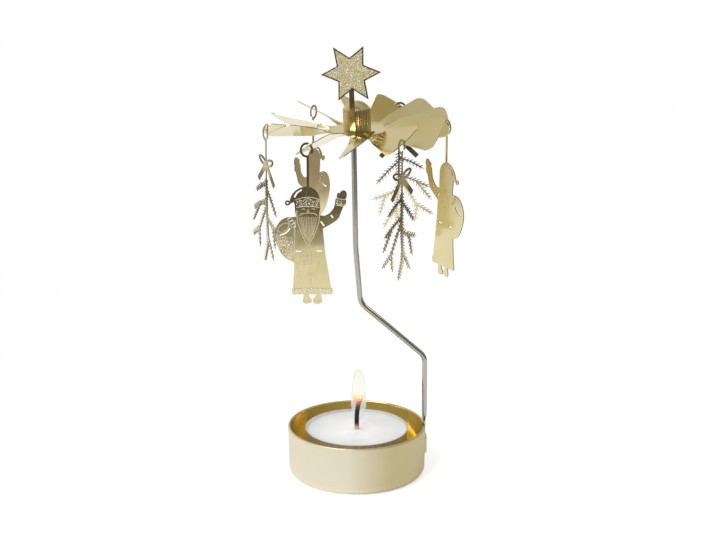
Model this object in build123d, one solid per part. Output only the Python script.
from build123d import *
from math import atan2, cos, degrees, radians, sin, tan
import os

os.makedirs("parts", exist_ok=True)

# Tealight carousel: a pressed tray, a bent wire post with a needle point, a twelve-bladed
# wheel that turns on the point, a star, and six etched ornaments hooked under the blades.
# Origin: middle of the flat bottom of the tray. +Z up, the post foot is on +X.

# Stock and clearances
etched_sheet = 0.3
touch_gap = 0.05
overrun = 1.0

# Tray
tray_rim_radius = 25.9
tray_taper = 0.3
tray_height = 18.8
tray_wall = 0.5
tray_corner = 3.0
tray_hem_radius = 0.45
tray_hem_step = 0.04

# Lanced strap of the tray, which holds the flat foot of the post
strap_bottom = 8.2
strap_top = 14.2
strap_wall = 0.5
strap_land = 1.1
strap_round = 0.4
strap_cut = 4.4
foot_width = 2.9
foot_thickness = 1.0
foot_edge_round = 0.25
foot_side_gap = 0.3

# Post
wire_diameter = 2.0
neck_bottom = 20.6
neck_top = 22.4
lower_bend_height = 45.8
lower_bend_radius = 5.0
upper_bend_height = 66.8
upper_bend_offset = 1.4
upper_bend_radius = 6.0
slight_bend_height = 88.0
slight_bend_offset = -0.35
slight_bend_radius = 60.0
neck_bend_drop = 13.4
neck_bend_offset = -1.0
neck_bend_radius = 10.0
pivot_height = 139.4
needle_length = 4.0
needle_tip_radius = 0.15

# Wheel
plate_drop = 6.4
plate_radius = 9.6
wheel_radius = 34.0
blade_slit = 0.5
blade_corner = 2.6
blade_root_stub = 0.4
blade_twist_length = 6.0
blade_count = 12
blade_pitch_angle = 32.0
blade_lift_angle = 4.7
# Blade by blade, counted from +X: how far the hand-set blades differ, in degrees and in reach
extra_pitch_angles = (-1, -3, -3, 0, -1, -3, -3, -7, 0, 3, 0, 3)
extra_lift_angles = (0, 0, 0, 0, 0, -2, -2, 7, 0, 0.5, 1, -1)
extra_sweep_angles = (0, 2.5, 4.5, 0, 1.7, 0, 0, 0, 0, 0, 0, 0)
extra_reach = (-0.8, 0, 0, 0, 0, 0, 0, 0, 0, 0, 0, 0)
wheel_tilt_angle = 2.0

# Hook holes near the tips of every second blade
hook_every = 2
hole_radius = 0.8
hole_web = 0.4

# Hub cap and the seat of the needle
cap_radius = 5.0
cap_side_height = 7.8
cap_dome_rise = 2.7
cap_shoulder = 0.3
cap_collar_height = 2.2
cap_bore_radius = 3.5
cap_flute_count = 24
cap_flute_radius = 0.42
cap_spigot_radius = 4.1
cap_lip_radius = 4.8
cap_lip_thickness = 0.35
seat_height = 1.5
seat_dimple_radius = 1.3
seat_dimple_depth = 1.0

# Star
star_radius = 11.2
star_inner_share = 0.51
star_points = 6
star_centre_height = 21.8
star_stem_width = 1.85
star_angle = 254.7
star_head_angle = 3.8
star_offset = 5.75
star_border = 0.45
star_recess = 0.06
star_foot_length = 2.4

# Ornaments
hook_width = 4.7
hook_height = 5.4
hook_band = 0.75
hook_shift = -0.4
hook_gap = 1.1
hook_gap_height = 1.55
hook_seat_angle = 43.0
ornament_drop = 16.0
figure_height = 43.2
figure_stem_width = 0.85
figure_stem_overlap = 1.1
groove_width = 0.32
groove_depth = 0.09
slot_width = 0.6
rib_slot_width = 0.36
strand_width = 0.24
hem_scallop_radius = 0.95
bobble_hole_radius = 0.38
branch_drop = 14.1
branch_length = 36.4
branch_stem_width = 0.65
twig_width = 0.48
needle_root_width = 0.42
needle_tip_width = 0.26
needle_lean = 0.85
stem_needle_reach = 1.35
stem_needle_spacing = 1.1
side_needle_reach = 1.15
side_needle_spacing = 1.45
needle_taper_share = 0.25

# Tealight
cup_radius = 19.0
cup_taper = 0.4
cup_height = 17.1
cup_wall = 0.2
cup_corner = 1.0
cup_lip = 0.35
wax_below_rim = 0.8
wick_diameter = 1.9
wick_reach = 12.5
wick_straight = 3.9
wick_overhang = 1.4
clip_radius = 6.0
clip_thickness = 0.3
clip_collar_radius = 1.4
clip_collar_height = 3.0

# Places that several pieces share
tray_base_radius = tray_rim_radius - tray_taper
cup_base_radius = cup_radius - cup_taper
neck_bend_height = pivot_height - neck_bend_drop
plate_top = pivot_height - plate_drop
post_foot = tray_rim_radius - tray_wall
strap_inside = post_foot + foot_thickness / 2 + touch_gap
window_width = foot_width + 2 * foot_side_gap
plate_middle = plate_top - etched_sheet / 2
blade_root = plate_radius + blade_root_stub
blade_step = 360 / blade_count
pivot_point = Pos(0, 0, pivot_height)
tilted = pivot_point * Rot(0, -wheel_tilt_angle, 0) * pivot_point.inverse()


def save(solid, name):
    solid.label = name
    export_step(solid, os.path.join("parts", name + ".step"))


def turned_cup(rim_radius, base_radius, height, corner):
    # Solid of revolution with a slightly tapered side and a round bottom corner
    side = Polyline((0, 0), (base_radius, 0), (rim_radius, height), (0, height), close=True)
    face = make_face(side)
    foot = face.vertices().sort_by_distance((base_radius, 0))[0]
    return revolve(Plane.XZ * fillet(foot, corner), Axis.Z)


def tray():
    hem_height = tray_height - tray_hem_radius
    outside = turned_cup(tray_rim_radius, tray_base_radius, hem_height, tray_corner)
    inside = turned_cup(tray_rim_radius - tray_wall, tray_base_radius - tray_wall,
                        hem_height, tray_corner - tray_wall)
    shell = outside - Pos(0, 0, tray_wall) * inside
    # The sheet is rolled inwards along the rim
    shell += Pos(0, 0, hem_height) * Torus(
        tray_rim_radius - tray_hem_step - tray_hem_radius, tray_hem_radius)

    window_height = tray_height - strap_bottom + overrun
    window = Pos(post_foot, 0, strap_bottom + window_height / 2) * Box(
        strap_cut, window_width, window_height)
    shell -= window

    strap_height = strap_top - strap_bottom
    strap_place = Pos(0, 0, strap_bottom + strap_height / 2)
    band = Cylinder(strap_inside + strap_wall, strap_height) - Cylinder(
        post_foot, strap_height + overrun)
    reach = window_width + 2 * strap_land
    band &= Pos(strap_inside, 0, 0) * Box(strap_cut, reach, strap_height)
    band -= Pos(strap_inside - strap_cut / 2, 0, 0) * Box(
        strap_cut, window_width, strap_height + overrun)
    upright = band.edges().filter_by(Axis.Z)
    outer_corners = [edge for edge in upright if edge.center().X > strap_inside
                     and abs(edge.center().Y) > (window_width + strap_land) / 2]
    band = fillet(outer_corners, strap_wall / 2)
    long_edges = [edge for edge in band.edges().filter_by(GeomType.CIRCLE)
                  if abs(edge.radius - strap_inside - strap_wall) < touch_gap]
    band = fillet(long_edges, strap_round)
    return shell + strap_place * band


def post_wire():
    path = FilletPolyline(
        (post_foot, 0, neck_top), (post_foot, 0, lower_bend_height),
        (upper_bend_offset, 0, upper_bend_height), (slight_bend_offset, 0, slight_bend_height),
        (neck_bend_offset, 0, neck_bend_height), (0, 0, pivot_height),
        radius=[lower_bend_radius, upper_bend_radius, slight_bend_radius, neck_bend_radius])
    run_up = Vector(-neck_bend_offset, 0, pivot_height - neck_bend_height).normalized()
    needle_start = Vector(0, 0, pivot_height) - run_up * needle_length
    wire = sweep(Plane(origin=path @ 0, z_dir=path % 0) * Circle(wire_diameter / 2), path=path)
    needle_plane = Plane(origin=needle_start, z_dir=run_up)
    blank = needle_plane * Pos(0, 0, needle_length / 2) * Cylinder(
        wire_diameter, needle_length + overrun / 2)
    needle = needle_plane * Pos(0, 0, needle_length / 2) * Cone(
        wire_diameter / 2, needle_tip_radius, needle_length)
    wire = wire - blank.moved(Location(run_up * (overrun / 4))) + needle

    flat = Rectangle(foot_thickness, foot_width)
    flat = fillet(flat.vertices(), foot_edge_round)
    neck = loft([Pos(post_foot, 0, neck_bottom) * flat,
                 Pos(post_foot, 0, neck_top) * Circle(wire_diameter / 2)])
    foot = extrude(Pos(post_foot, 0, strap_bottom) * flat, neck_bottom - strap_bottom)
    return wire + neck + foot


def blade_plane(index):
    # Plane of one blade at +X: x runs out along the blade, y up along its chord
    rise = radians(blade_lift_angle + extra_lift_angles[index])
    pitch = radians(blade_pitch_angle + extra_pitch_angles[index])
    sweep = extra_sweep_angles[index]
    out = Vector(cos(rise), 0, sin(rise)).rotate(Axis.Z, sweep)
    up = Vector(-sin(rise), 0, cos(rise)).rotate(Axis.Z, sweep)
    aside = Vector(0, 1, 0).rotate(Axis.Z, sweep)
    return Plane(origin=(blade_root, 0, plate_middle), x_dir=out,
                 z_dir=up * cos(pitch) - aside * sin(pitch))


def tip_radius(index):
    return wheel_radius + extra_reach[index]


def hole_place(index):
    # How far out from the root the hook hole of a blade lies
    return tip_radius(index) - hole_web - hole_radius - blade_root


def half_chord(radius):
    return radius * tan(radians(blade_step / 2)) - blade_slit / 2


def blade(index):
    plane = blade_plane(index)
    start = blade_twist_length
    start_half = half_chord(blade_root + start)
    corner_radius = tip_radius(index) * cos(radians(blade_step / 2))
    corner_half = half_chord(corner_radius)
    corner_out = corner_radius - blade_root
    tip_out = tip_radius(index) - blade_root
    tip = ThreePointArc((corner_out, -corner_half), (tip_out, 0), (corner_out, corner_half))
    sides = Polyline((corner_out, corner_half), (start, start_half), (start, -start_half),
                     (corner_out, -corner_half))
    face = make_face([tip, sides])
    corners = face.vertices().sort_by(Axis.X)[-2:]
    face = fillet(corners, blade_corner)
    if index % hook_every == 0:
        face -= Pos(hole_place(index), 0) * Circle(hole_radius)
    flat = extrude(plane * face, etched_sheet / 2, both=True)

    root_plane = Plane(origin=(blade_root, 0, plate_middle), x_dir=(0, 1, 0), z_dir=(1, 0, 0))
    end_plane = Plane(origin=plane.origin + plane.x_dir * start,
                      x_dir=plane.y_dir, z_dir=plane.x_dir)
    twist = loft([
        root_plane * Rectangle(2 * half_chord(plate_radius), etched_sheet),
        end_plane * Rectangle(2 * start_half, etched_sheet)])
    return Rot(0, 0, index * blade_step) * (flat + twist)


def blade_wheel():
    stub = Pos(blade_root / 2, 0) * Rectangle(blade_root, 2 * half_chord(plate_radius))
    stubs = [Rot(0, 0, index * blade_step) * stub for index in range(blade_count)]
    plate = Pos(0, 0, plate_middle) * extrude(
        Circle(plate_radius) + stubs, etched_sheet / 2, both=True)
    wheel = plate + [blade(index) for index in range(blade_count)]
    wheel -= Pos(0, 0, plate_middle) * Cylinder(
        cap_spigot_radius + touch_gap, etched_sheet + overrun)
    slot = Box(etched_sheet + 2 * touch_gap, star_stem_width + 2 * touch_gap, overrun * 2)
    wheel -= Rot(0, 0, star_angle) * Pos(star_offset, 0, plate_middle) * slot
    return tilted * wheel


def hub_cap():
    side_top = cap_side_height
    crown = side_top + cap_dome_rise
    spigot_end = -etched_sheet - touch_gap
    lip_end = spigot_end - cap_lip_thickness
    dome_start = cap_radius - cap_shoulder
    body = revolve(Plane.XZ * make_face(Polyline(
        (0, lip_end), (cap_lip_radius, lip_end), (cap_lip_radius, spigot_end),
        (cap_spigot_radius, spigot_end), (cap_spigot_radius, 0), (cap_radius, 0),
        (cap_radius, side_top), (0, side_top), close=True)), Axis.Z)
    rise = cap_dome_rise
    ball = (dome_start ** 2 + rise ** 2) / (2 * rise)
    dome = Pos(0, 0, crown - ball) * Sphere(ball) & Pos(0, 0, side_top + rise / 2) * Cylinder(
        cap_radius, rise)
    # The flutes stop above a plain collar
    flute_height = side_top - cap_collar_height + overrun
    flute = Pos(cap_radius + cap_flute_radius / 2, 0, cap_collar_height + flute_height / 2) * Cylinder(
        cap_flute_radius, flute_height)
    flutes = [Rot(0, 0, 360 / cap_flute_count * k) * flute for k in range(cap_flute_count)]
    body -= flutes
    body += dome
    bore_top = pivot_height - plate_top + seat_height - seat_dimple_depth + touch_gap
    bore = Pos(0, 0, (bore_top + lip_end - overrun) / 2) * Cylinder(
        cap_bore_radius, bore_top - lip_end + overrun)
    body -= bore
    return tilted * Pos(0, 0, plate_top) * body


def pivot_seat():
    top = pivot_height + seat_height - seat_dimple_depth + touch_gap
    bottom = top - seat_height
    seat = Pos(0, 0, (top + bottom) / 2) * Cylinder(cap_bore_radius, seat_height)
    dimple = Pos(0, 0, bottom + seat_dimple_depth / 2) * Cone(
        seat_dimple_radius, needle_tip_radius, seat_dimple_depth)
    return tilted * (seat - dimple)


def star_topper():
    half_turn = 180 / star_points
    turns = [half_turn * k for k in range(2 * star_points)]
    reach = [star_radius if k % 2 == 0 else star_radius * star_inner_share
             for k in range(2 * star_points)]
    tips = [(r * cos(radians(a)), r * sin(radians(a))) for r, a in zip(reach, turns)]
    face = Rot(0, 0, star_head_angle) * make_face(Polyline(*tips, close=True))
    stem_top = -star_radius * star_inner_share * cos(radians(half_turn))
    stem_end = -star_centre_height - etched_sheet - touch_gap - etched_sheet
    stem = Pos(0, (stem_top + stem_end) / 2) * Rectangle(star_stem_width, stem_top - stem_end)
    star = extrude(face + stem, etched_sheet / 2, both=True)
    inner = offset(face, -star_border, kind=Kind.INTERSECTION)
    for side in (1, -1):
        star -= Pos(0, 0, side * etched_sheet / 2) * extrude(inner, star_recess, both=True)
    foot = Pos(0, stem_end + etched_sheet / 2, star_foot_length / 2) * Box(
        star_stem_width, etched_sheet, star_foot_length)
    stand = Plane(origin=(star_offset, 0, plate_top + star_centre_height),
                  x_dir=(0, 1, 0), z_dir=(1, 0, 0))
    return tilted * Rot(0, 0, star_angle) * (stand * (star + foot))


def hook():
    # Open ring drawn with its top at the origin, its free end on the right of the stem
    middle = Pos(hook_shift, -hook_height / 2)
    ring = middle * (Ellipse(hook_width / 2, hook_height / 2) - Ellipse(
        hook_width / 2 - hook_band, hook_height / 2 - hook_band))
    gap_start = figure_stem_width / 2
    gap = Pos(gap_start + hook_gap / 2, -hook_height + hook_gap / 2) * Rectangle(
        hook_gap, hook_gap_height)
    return ring - gap


def stem(width, length):
    top = hook_height - hook_band / 2
    return Pos(0, -(top + length) / 2) * Rectangle(width, length - top)


def in_shares(points, size, top):
    return [(x * size, top - y * size) for x, y in points]


def outline(shares, size, top):
    return make_face(Polyline(*in_shares(shares, size, top), close=True))


def soft_outline(shares, size, top):
    return make_face(Spline(*in_shares(shares, size, top), periodic=True))


# Outline of the figure, as shares of its height, x to the right and y down from the hat top
head_shares = ((-0.110, 0.135), (-0.108, 0.200), (-0.094, 0.275), (0.098, 0.275),
               (0.100, 0.200), (0.094, 0.100), (-0.106, 0.100))
hat_arc_shares = ((0.094, 0.130), (0.068, 0.038), (0.000, 0.000), (-0.085, 0.022),
                  (-0.150, 0.124))
hat_brim_shares = ((-0.150, 0.124), (-0.147, 0.146), (-0.118, 0.130), (-0.106, 0.160),
                   (0.094, 0.160), (0.094, 0.130))
bobble_share = (-0.167, 0.138)
bobble_radius_share = 0.022
coat_shares = ((-0.098, 0.255), (-0.155, 0.262), (-0.160, 0.330), (-0.113, 0.440),
               (-0.118, 0.700), (-0.130, 0.880), (0.190, 0.880), (0.172, 0.780),
               (0.138, 0.560), (0.122, 0.380), (0.118, 0.270), (0.098, 0.240))
hem_middle_share = (0.031, 0.893)
hem_size_share = (0.338, 0.054)
hem_round_share = 0.018
sack_shares = ((-0.150, 0.258), (-0.225, 0.290), (-0.264, 0.350), (-0.276, 0.410),
               (-0.255, 0.500), (-0.207, 0.588), (-0.150, 0.630), (-0.098, 0.640),
               (-0.080, 0.560), (-0.085, 0.400), (-0.090, 0.275))
sleeve_shares = ((0.080, 0.243), (0.138, 0.247), (0.178, 0.224), (0.211, 0.180),
                 (0.221, 0.130), (0.304, 0.132), (0.292, 0.160), (0.268, 0.218),
                 (0.254, 0.260), (0.231, 0.286), (0.178, 0.322), (0.118, 0.356))
cuff_middle_share = (0.266, 0.127)
cuff_size_share = (0.088, 0.054)
cuff_round_share = 0.013
cuff_lean_angle = -10
mitten_middle_share = (0.286, 0.074)
mitten_size_share = (0.031, 0.043)
thumb_middle_share = (0.249, 0.078)
thumb_size_share = (0.014, 0.026)
left_boot_shares = ((-0.040, 0.900), (-0.046, 0.960), (-0.042, 0.994), (0.000, 1.000),
                    (0.025, 0.984), (0.022, 0.962), (0.004, 0.940), (0.003, 0.900))
right_boot_shares = ((0.056, 0.900), (0.054, 0.944), (0.036, 0.970), (0.042, 0.994),
                     (0.095, 1.000), (0.112, 0.970), (0.105, 0.935), (0.093, 0.900))

# Etched lines of the figure in the same shares, each one a polyline
line_shares = (
    ((-0.104, 0.112), (-0.050, 0.094), (0.000, 0.088), (0.050, 0.094), (0.096, 0.112)),
    ((-0.096, 0.176), (-0.040, 0.168), (0.040, 0.168), (0.092, 0.176)),
    ((-0.052, 0.192), (-0.038, 0.186), (-0.024, 0.192)),
    ((0.028, 0.192), (0.042, 0.186), (0.056, 0.192)),
    ((0.002, 0.190), (-0.006, 0.212), (0.010, 0.214)),
    ((-0.072, 0.244), (-0.050, 0.228), (0.002, 0.222), (0.054, 0.228), (0.076, 0.244)),
    ((-0.094, 0.200), (-0.088, 0.300), (-0.050, 0.410), (-0.004, 0.515)),
    ((0.096, 0.200), (0.088, 0.300), (0.046, 0.420), (-0.004, 0.515)),
    ((0.004, 0.520), (0.024, 0.866)),
    ((-0.036, 0.535), (-0.036, 0.640)),
    ((0.046, 0.535), (0.048, 0.585), (0.060, 0.628), (0.090, 0.652)),
    ((-0.128, 0.868), (0.188, 0.868)),
    ((-0.105, 0.285), (-0.113, 0.440), (-0.118, 0.640)),
    ((0.222, 0.156), (0.298, 0.166)),
    ((0.230, 0.098), (0.306, 0.112)),
    ((-0.172, 0.272), (-0.130, 0.356)),
    ((-0.134, 0.266), (-0.106, 0.326)),
    ((-0.046, 0.978), (0.022, 0.986)),
    ((0.038, 0.980), (0.110, 0.978)),
)

# Slots that go right through the sheet, as polylines too
slot_shares = (
    ((-0.112, 0.092), (-0.090, 0.052), (-0.050, 0.026)),
    ((-0.232, 0.412), (-0.196, 0.400), (-0.168, 0.380), (-0.149, 0.352)),
    ((0.102, 0.292), (0.132, 0.334)),
    ((0.187, 0.240), (0.203, 0.266)),
    ((-0.104, 0.551), (-0.044, 0.551)),
    ((0.052, 0.548), (0.112, 0.548)),
)

# Short slots across the neck of the sack: their middle, step and half length
rib_middle_share = (-0.132, 0.303)
rib_step_share = (0.014, 0.024)
rib_half_share = (0.011, -0.006)
rib_count = 4

# Strands of the beard run from under the lip towards its point
strand_count = 11
strand_step_share = 0.0150
strand_top_share = 0.254
strand_gather_share = 0.0078
strand_end_share = 0.488
strand_rise_share = 0.0162
button_shares = (0.560, 0.600, 0.640, 0.685, 0.730, 0.775, 0.820)
button_line_shares = ((0.004, 0.520), (0.024, 0.866))
button_radius = 0.42
sack_mouth_middle_share = (-0.204, 0.348)
sack_mouth_size_share = (0.057, 0.033)
sack_mouth_angle = 38


def figure_face():
    size = figure_height
    top = -ornament_drop

    def place(share):
        return Pos(share[0] * size, top - share[1] * size)

    hat_points = in_shares(hat_arc_shares, size, top)
    hat = make_face([ThreePointArc(*hat_points[:3]), ThreePointArc(*hat_points[2:]),
                     Polyline(*in_shares(hat_brim_shares, size, top))])
    head = outline(head_shares, size, top)
    bobble = place(bobble_share) * Circle(bobble_radius_share * size)
    coat = outline(coat_shares, size, top)
    hem = place(hem_middle_share) * RectangleRounded(
        hem_size_share[0] * size, hem_size_share[1] * size, hem_round_share * size)
    scallop_reach = hem_size_share[0] * size / 2 - hem_scallop_radius
    scallop_count = round(scallop_reach / hem_scallop_radius)
    low_edge = top - (hem_middle_share[1] + hem_size_share[1] / 2) * size + hem_scallop_radius
    scallops = [Pos(hem_middle_share[0] * size + scallop_reach * (2 * k / scallop_count - 1),
                    low_edge - groove_width / 2) * Circle(hem_scallop_radius)
                for k in range(scallop_count + 1)]
    sack = soft_outline(sack_shares, size, top)
    sleeve = outline(sleeve_shares, size, top)
    cuff = place(cuff_middle_share) * Rot(0, 0, cuff_lean_angle) * RectangleRounded(
        cuff_size_share[0] * size, cuff_size_share[1] * size, cuff_round_share * size)
    mitten = place(mitten_middle_share) * Rot(0, 0, cuff_lean_angle) * Ellipse(
        mitten_size_share[0] * size, mitten_size_share[1] * size)
    thumb = place(thumb_middle_share) * Ellipse(
        thumb_size_share[0] * size, thumb_size_share[1] * size)
    boots = [soft_outline(left_boot_shares, size, top), soft_outline(right_boot_shares, size, top)]
    parts = [head, bobble, coat, hem, sack, sleeve, cuff, mitten, thumb] + boots + scallops
    face = hat + parts + stem(figure_stem_width, ornament_drop + figure_stem_overlap) + hook()
    return face - figure_slots() - place(bobble_share) * Circle(bobble_hole_radius)


def figure_slots():
    size = figure_height
    top = -ornament_drop
    slots = [trace(Polyline(*in_shares(shares, size, top)), slot_width) for shares in slot_shares]
    for k in range(rib_count):
        away = k - (rib_count - 1) / 2
        x, y = [rib_middle_share[axis] + rib_step_share[axis] * away for axis in (0, 1)]
        ends = [(x + side * rib_half_share[0], y + side * rib_half_share[1]) for side in (-1, 1)]
        slots.append(trace(Polyline(*in_shares(ends, size, top)), rib_slot_width))
    return slots


def figure_lines():
    size = figure_height
    top = -ornament_drop
    lines = [trace(Polyline(*in_shares(shares, size, top)), groove_width)
             for shares in line_shares]
    (x0, y0), (x1, y1) = button_line_shares
    for share in button_shares:
        along = (share - y0) / (y1 - y0)
        x = (x0 + (x1 - x0) * along) * size
        lines.append(Pos(x, top - share * size) * Circle(button_radius))
    for k in range(strand_count):
        away = k - (strand_count - 1) / 2
        ends = [(strand_step_share * away, strand_top_share),
                (strand_gather_share * away, strand_end_share - strand_rise_share * abs(away))]
        lines.append(trace(Polyline(*in_shares(ends, size, top)), strand_width))
    mouth = Pos(sack_mouth_middle_share[0] * size, top - sack_mouth_middle_share[1] * size)
    width, height = [share * size for share in sack_mouth_size_share]
    rim = Ellipse(width, height) - Ellipse(width - groove_width, height - groove_width)
    lines.append(mouth * Rot(0, 0, sack_mouth_angle) * rim)
    return lines[0] + lines[1:]


def etched(face, lines):
    # The lines are etched into the front only, and the back stays plain
    sheet = extrude(face, etched_sheet / 2, both=True)
    return sheet - Pos(0, 0, etched_sheet / 2) * extrude(lines, groove_depth, both=True)


# Twigs of the branch as shares of its length below the bow: start and end of each straight
# stretch, x to the right and y down
stem_twig_shares = (
    ((0.000, 0.150), (0.002, 0.520)), ((0.002, 0.500), (0.023, 0.760)),
    ((0.023, 0.745), (0.010, 0.850)), ((0.010, 0.840), (-0.052, 1.000)),
)
side_twig_shares = (
    ((0.023, 0.750), (0.085, 0.840)), ((0.085, 0.830), (0.150, 0.942)),
    ((-0.003, 0.205), (-0.115, 0.243)), ((-0.110, 0.240), (-0.248, 0.318)),
    ((0.005, 0.245), (0.115, 0.347)), ((0.110, 0.342), (0.225, 0.471)),
    ((-0.003, 0.385), (-0.150, 0.440)), ((-0.145, 0.438), (-0.312, 0.520)),
    ((-0.190, 0.470), (-0.335, 0.650)),
    ((-0.003, 0.430), (-0.092, 0.560)), ((-0.090, 0.550), (-0.195, 0.722)),
    ((-0.192, 0.712), (-0.347, 0.809)), ((-0.192, 0.712), (-0.173, 0.882)),
    ((0.003, 0.535), (0.104, 0.595)), ((0.100, 0.592), (0.260, 0.642)),
    ((0.140, 0.612), (0.197, 0.809)),
)
bow_loop_length_share = 0.178
bow_loop_height_share = 0.082
bow_loop_angle = 17
bow_tail_share = (0.190, 0.190)
bow_ribbon_share = 0.048
bow_knot_share = 0.034


def twig(start, end, needle_reach, needle_spacing):
    # Straight twig with thin needles on both sides that lean towards its tip
    along = Vector(*end) - Vector(*start)
    length = along.length
    count = max(2, round(length / needle_spacing))
    pitch = length / count
    core = twig_width / 2
    upper = []
    for k in range(count):
        foot = pitch * k
        reach = needle_reach * (1 - needle_taper_share * k / count)
        upper += [(foot, core), (foot + needle_lean, reach),
                  (foot + needle_lean + needle_tip_width, reach), (foot + needle_root_width, core)]
    lower = [(x, -y) for x, y in reversed(upper)]
    tip = (length + needle_lean, 0)
    turn = degrees(atan2(along.Y, along.X))
    return Pos(*start) * Rot(0, 0, turn) * make_face(Polyline(*upper, tip, *lower, close=True))


def bow(top):
    size = branch_length
    long_half = bow_loop_length_share * size / 2
    high_half = bow_loop_height_share * size / 2
    ribbon = bow_ribbon_share * size
    loop = Ellipse(long_half, high_half) - Ellipse(long_half - ribbon / 2, high_half - ribbon / 2)
    knot = Circle(bow_knot_share * size)
    tail_x, tail_y = [share * size for share in bow_tail_share]
    pieces = []
    for side in (1, -1):
        pieces.append(Rot(0, 0, side * bow_loop_angle) * Pos(side * long_half, 0) * loop)
        pieces.append(trace(Line((0, 0), (side * tail_x, -tail_y)), ribbon))
    return Pos(0, top) * (knot + pieces)


def branch_face():
    size = branch_length
    top = -branch_drop
    stem_end_share = stem_twig_shares[0][1][1]
    face = stem(branch_stem_width, branch_drop + size * stem_end_share) + hook() + bow(top)
    twigs = [twig(*in_shares(shares, size, top), stem_needle_reach, stem_needle_spacing)
             for shares in stem_twig_shares]
    twigs += [twig(*in_shares(shares, size, top), side_needle_reach, side_needle_spacing)
              for shares in side_twig_shares]
    return face + twigs


def hook_seat(index):
    # Middle of the hook hole of blade `index`, in place
    out = blade_plane(index).location * Pos(hole_place(index), 0, 0)
    return (tilted * Rot(0, 0, index * blade_step) * out).position


def hang(ornament, index, turn):
    # The ring's right side passes through the hole; the ornament hangs straight down
    azimuth = radians(index * blade_step + turn)
    front = Vector(cos(azimuth), sin(azimuth), 0)
    right = Vector(-sin(azimuth), cos(azimuth), 0)
    seat = radians(hook_seat_angle)
    across = hook_shift + (hook_width - hook_band) / 2 * sin(seat)
    down = hook_height / 2 - (hook_height - hook_band) / 2 * cos(seat)
    start = hook_seat(index) - right * across + Vector(0, 0, down)
    return Plane(origin=start, x_dir=right, z_dir=front) * ornament


def tealight_cup():
    outside = turned_cup(cup_radius, cup_base_radius, cup_height, cup_corner)
    inside = turned_cup(cup_radius - cup_wall, cup_base_radius - cup_wall, cup_height,
                        cup_corner - cup_wall)
    shell = outside - Pos(0, 0, cup_wall) * inside
    lip = Pos(0, 0, cup_height - cup_wall / 2) * (
        Cylinder(cup_radius + cup_lip, cup_wall) - Cylinder(cup_radius - cup_wall / 2, cup_wall))
    return Pos(0, 0, tray_wall) * (shell + lip)


cup_floor = tray_wall + cup_wall
wax_top = tray_wall + cup_height - wax_below_rim
clip_top = cup_floor + clip_thickness


def wick():
    start = cup_floor + clip_thickness
    bend = wax_top + wick_straight
    end = wax_top + wick_reach
    path = Line((0, 0, start), (0, 0, bend)) + TangentArc(
        (0, 0, bend), (wick_overhang, 0, end), tangent=(0, 0, 1))
    return sweep(Pos(0, 0, start) * Circle(wick_diameter / 2), path=path)


def wick_clip():
    disc = Pos(0, 0, cup_floor + clip_thickness / 2) * Cylinder(clip_radius, clip_thickness)
    collar = Pos(0, 0, clip_top + clip_collar_height / 2) * (
        Cylinder(clip_collar_radius, clip_collar_height)
        - Cylinder(wick_diameter / 2, clip_collar_height))
    return disc + collar


def tealight_wax(wick_solid, clip_solid):
    base = cup_base_radius - cup_wall
    fill_height = wax_top - cup_floor
    flare = (cup_radius - cup_base_radius) * fill_height / cup_height
    filling = turned_cup(base + flare, base, fill_height, cup_corner - cup_wall)
    return Pos(0, 0, cup_floor) * filling - wick_solid - clip_solid


save(tray(), "tray")
save(post_wire(), "post_wire")
save(blade_wheel(), "blade_wheel")
save(hub_cap(), "hub_cap")
save(pivot_seat(), "pivot_seat")
save(star_topper(), "star_topper")

# One ornament under every second blade from +X, its front turned this far from straight out
ornament_names = ("yule_figure_right", "spruce_branch_back", "yule_figure_back",
                  "spruce_branch_left", "yule_figure_front", "spruce_branch_front")
ornament_turn_angles = (31, 34, 30, 26, 30, 28)
figure = etched(figure_face(), figure_lines())
branch = extrude(branch_face(), etched_sheet / 2, both=True)
for place, (name, turn) in enumerate(zip(ornament_names, ornament_turn_angles)):
    shape = figure if name.startswith("yule") else branch
    index = hook_every * place
    save(hang(shape, index, turn), name)
    print(name, "hangs at", [round(value, 3) for value in hook_seat(index)])

wick_piece = wick()
clip_piece = wick_clip()
save(tealight_cup(), "tealight_cup")
save(wick_piece, "wick")
save(clip_piece, "wick_clip")
save(tealight_wax(wick_piece, clip_piece), "tealight_wax")
